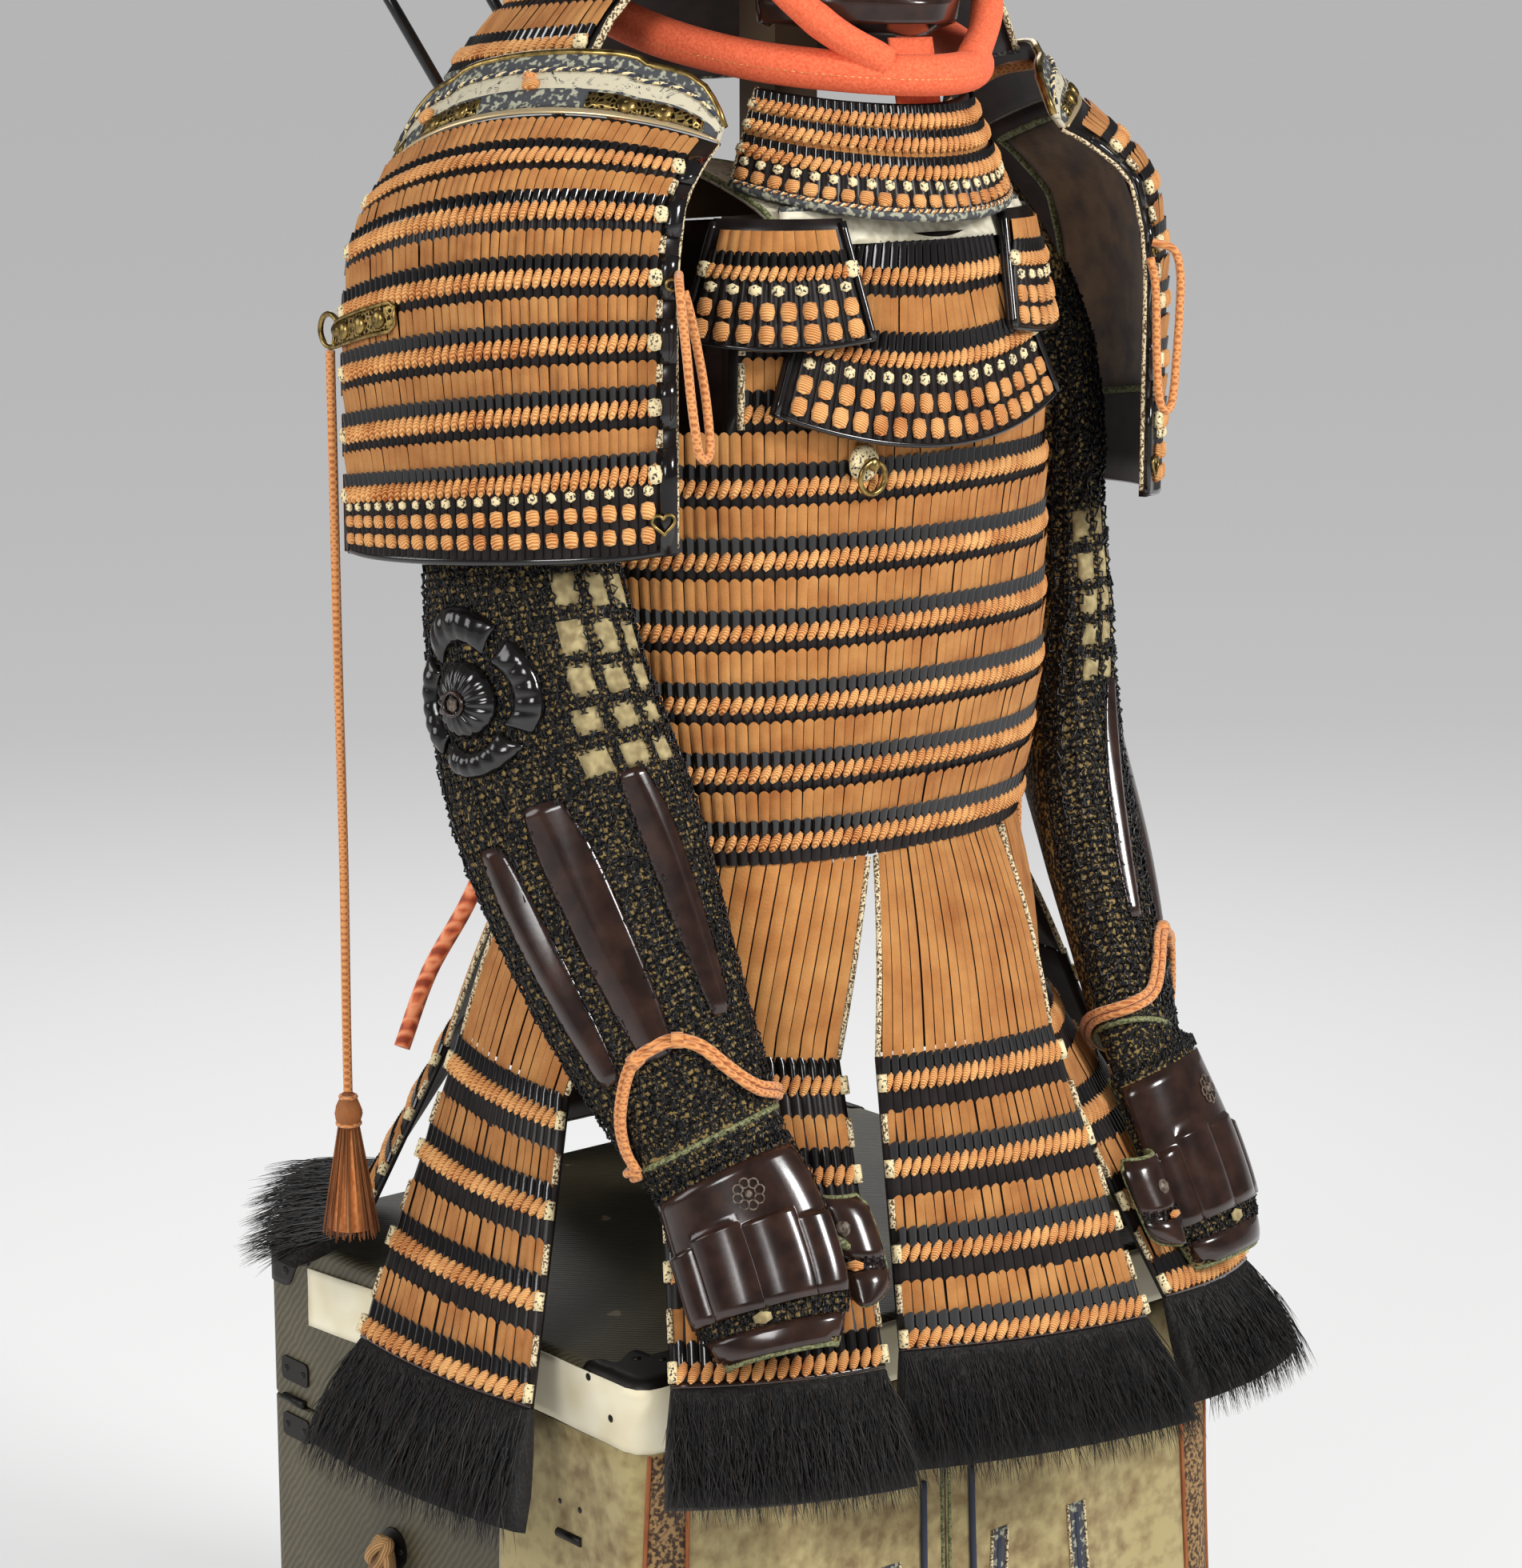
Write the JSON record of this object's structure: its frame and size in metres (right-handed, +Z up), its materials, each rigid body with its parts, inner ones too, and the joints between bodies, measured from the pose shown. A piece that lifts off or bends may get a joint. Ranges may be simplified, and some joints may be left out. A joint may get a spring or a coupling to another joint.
{
  "type": "samurai armour on a storage chest stand",
  "caption": "Laced samurai armour with helmet, half mask, shoulder guards, mail sleeves and fur-edged skirt, set out on its closed storage chest.",
  "frame": {"origin": "middle of the chest's underside, on the floor", "axes": "+Z up, -Y the way the armour faces, -X its right arm"},
  "size_m": [0.7269, 0.6436, 1.661],
  "materials": {
    "lace": "orange silk lacing",
    "lacquer": "black lacquer",
    "brown": "brown-black lacquer",
    "mail": "blackened mail on cloth",
    "fur": "black fur",
    "leather": "printed leather",
    "gilt": "gilt copper",
    "coral": "coral silk",
    "chest": "grained leather covering",
    "cream": "cream cotton",
    "olive": "olive brocade",
    "wood": "plain wood"
  },
  "bodies": {
    "root": {"chest": "chest", "waistband": "cream", "thigh_guard_right": "olive", "thigh_guard_left": "olive", "stand": "wood", "dou_front": "lace", "dou_back": "lace", "tasset_front": "lace", "fur_front": "fur", "tasset_front_left": "lace", "fur_front_left": "fur", "tasset_side_left": "lace", "fur_side_left": "fur", "tasset_rear": "lace", "fur_rear": "fur", "tasset_rear_right": "lace", "fur_rear_right": "fur", "tasset_side_right": "lace", "fur_side_right": "fur", "tasset_front_right": "lace", "fur_front_right": "fur", "sode_right": "lace", "sode_left": "lace", "sode_top_right": "leather", "sode_top_left": "leather", "sleeve_right": "mail", "sleeve_left": "mail", "strap_right": "leather", "strap_left": "leather", "elbow_guard_right": "lacquer", "elbow_guard_left": "lacquer", "splint_outer_right": "brown", "splint_outer_left": "brown", "splint_middle_right": "brown", "splint_middle_left": "brown", "splint_inner_right": "brown", "splint_inner_left": "brown", "wrist_cord_right": "lace", "wrist_cord_left": "lace", "hand_guard_right": "brown", "thumb_guard_right": "brown", "hand_guard_left": "brown", "thumb_guard_left": "brown", "sode_loop_right": "lace", "sode_loop_left": "lace", "side_cord_right": "lace", "side_cord_left": "lace", "tassel_right": "lace", "tassel_left": "lace", "side_ring_right": "gilt", "side_ring_left": "gilt", "front_ring": "gilt", "helmet": "lacquer", "neck_guard": "lace", "chin_cord": "coral", "mask": "brown", "throat_guard": "lace", "gorget": "leather", "back_cord_right": "coral", "back_cord_left": "coral"}
  },
  "joints": []
}
